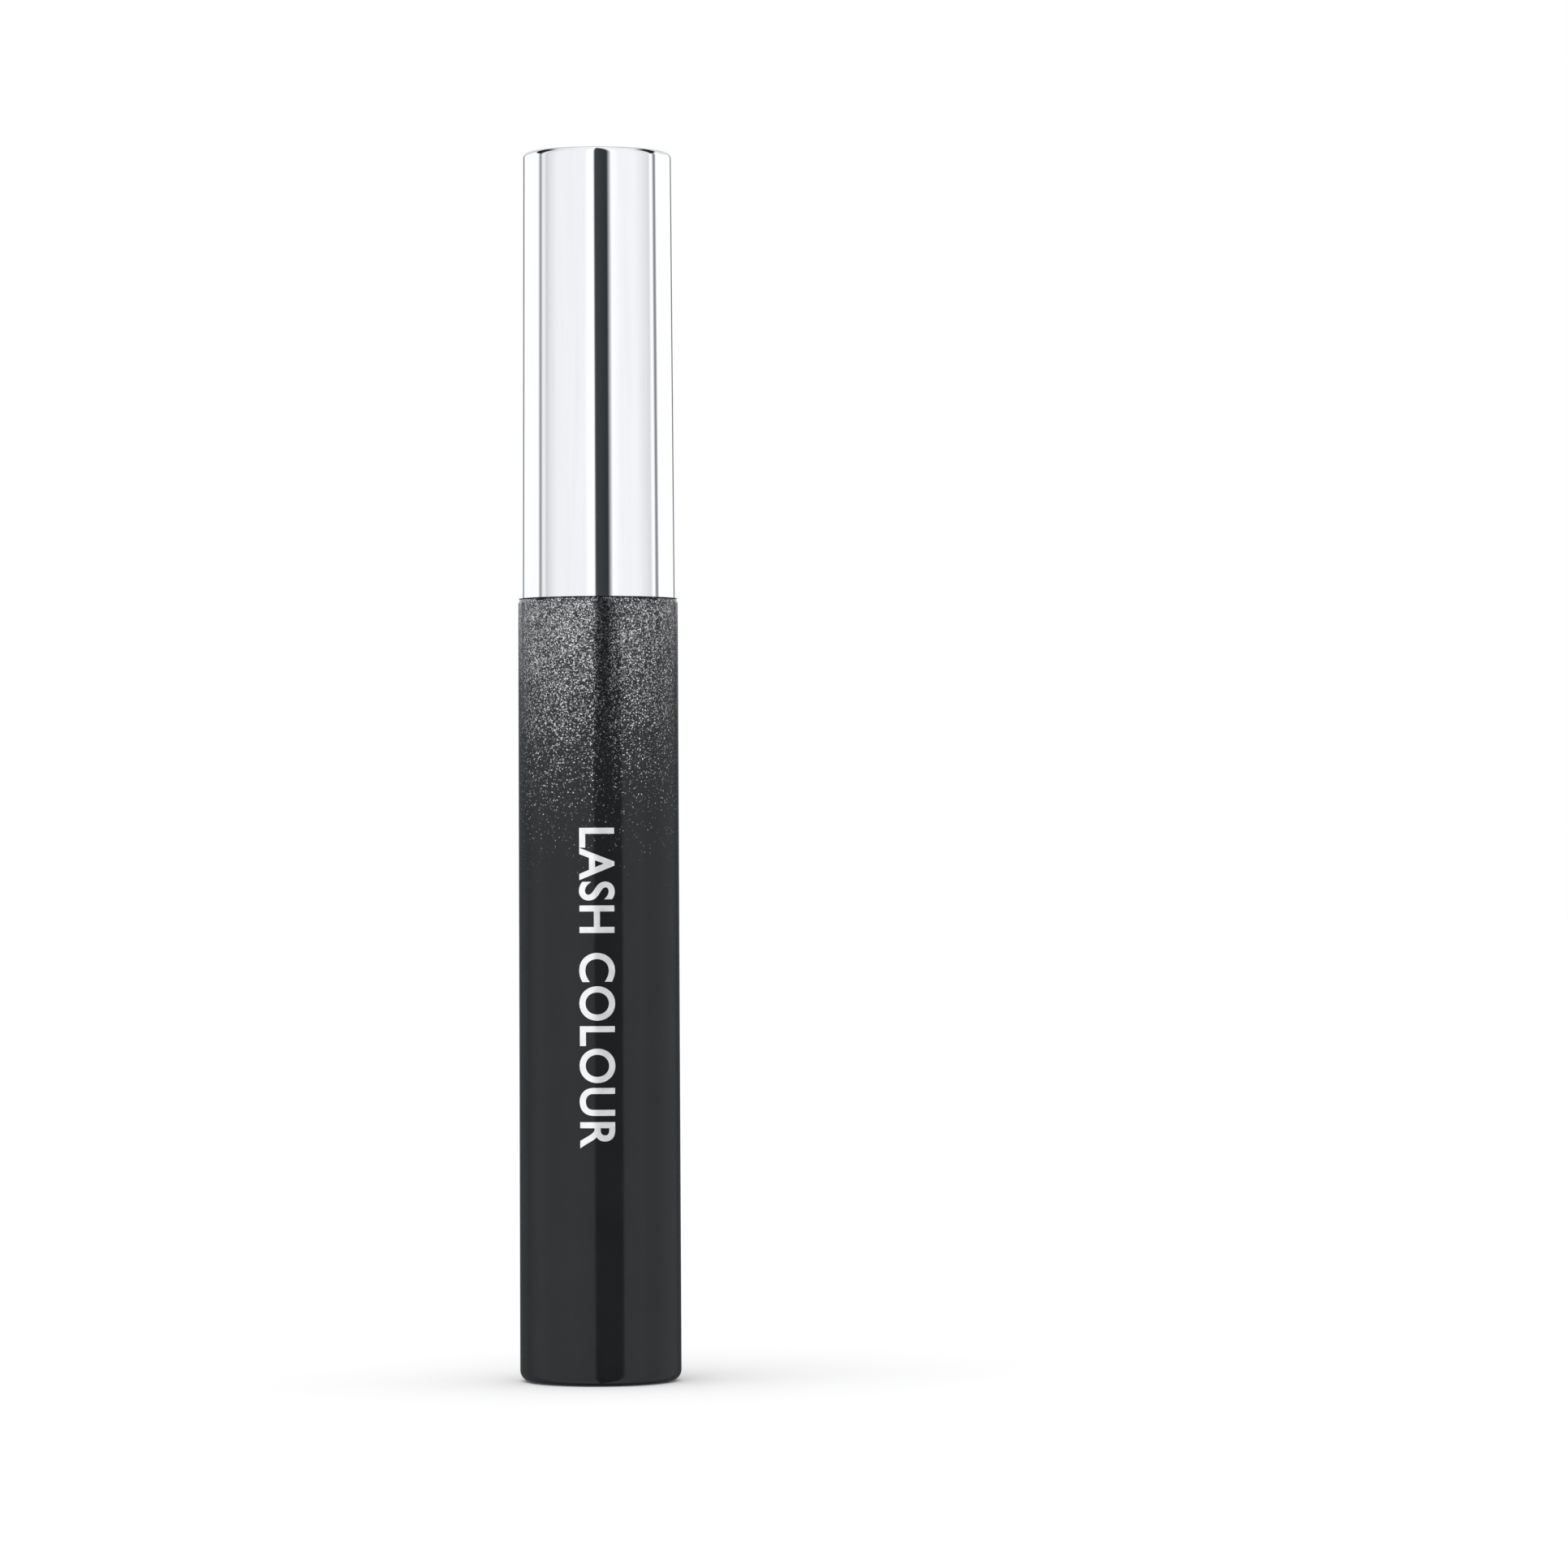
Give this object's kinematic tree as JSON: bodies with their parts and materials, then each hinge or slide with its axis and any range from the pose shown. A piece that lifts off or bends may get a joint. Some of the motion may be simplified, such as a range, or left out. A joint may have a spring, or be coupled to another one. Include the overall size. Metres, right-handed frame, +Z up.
{
  "type": "mascara tube",
  "caption": "Slim round cosmetic tube whose bright screw cap carries a stem and a twisted-wire bristle brush through a wiper into the bottle.",
  "frame": {"origin": "centre of the base, on the plane that the closed tube stands on", "axes": "+Z up along the tube, from the base to the closed end of the cap; -Y towards the side that carries the lettering"},
  "size_m": [0.016, 0.016, 0.1218],
  "materials": {
    "black_lacquer": "gloss black lacquer with a silver glitter fade at the top",
    "bright_cap": "mirror-bright metallised skin",
    "black_plastic": "smooth black moulded plastic",
    "wiper_plastic": "soft black elastomer",
    "seal_foam": "pale closed-cell foam",
    "steel": "plain bright steel",
    "bristle": "black nylon filaments",
    "label": "blank dark film"
  },
  "bodies": {
    "bottle": {"outer_sleeve": "black_lacquer", "inner_bottle": "black_plastic", "shoulder_collar": "black_plastic", "wiper": "wiper_plastic", "base_label": "label"},
    "seal": {"seal_washer": "seal_foam"},
    "weight": {"cap_weight": "steel"},
    "applicator": {"cap_shell": "bright_cap", "inner_cap": "black_plastic", "stem": "black_plastic", "brush_wire": "steel", "bristle_tuft_01": "bristle", "bristle_tuft_02": "bristle", "bristle_tuft_03": "bristle", "bristle_tuft_04": "bristle", "bristle_tuft_05": "bristle", "bristle_tuft_06": "bristle", "bristle_tuft_07": "bristle", "bristle_tuft_08": "bristle", "bristle_tuft_09": "bristle", "bristle_tuft_10": "bristle", "bristle_tuft_11": "bristle", "bristle_tuft_12": "bristle", "bristle_tuft_13": "bristle"}
  },
  "joints": [
    {"name": "pull_out", "type": "slide", "parent": "bottle", "child": "seal", "axis": [0, 0, 1], "range_m": [0, 0.095], "deforming": ["bristle_tuft_01", "bristle_tuft_02", "bristle_tuft_03", "bristle_tuft_04", "bristle_tuft_05", "bristle_tuft_06", "bristle_tuft_07", "bristle_tuft_08", "bristle_tuft_09", "bristle_tuft_10", "bristle_tuft_11", "bristle_tuft_12", "bristle_tuft_13"]},
    {"name": "thread_lift", "type": "slide", "parent": "seal", "child": "weight", "axis": [0, 0, 1], "range_m": [0, 0.00376]},
    {"name": "cap_turn", "type": "hinge", "parent": "weight", "child": "applicator", "pos_m": [0, 0, 0.0778], "axis": [0, 0, 1], "range_deg": [0, 540]}
  ],
  "couplings": [
    {"joint": "thread_lift", "follows": "cap_turn", "m_per_rad": 0.00039789}
  ]
}
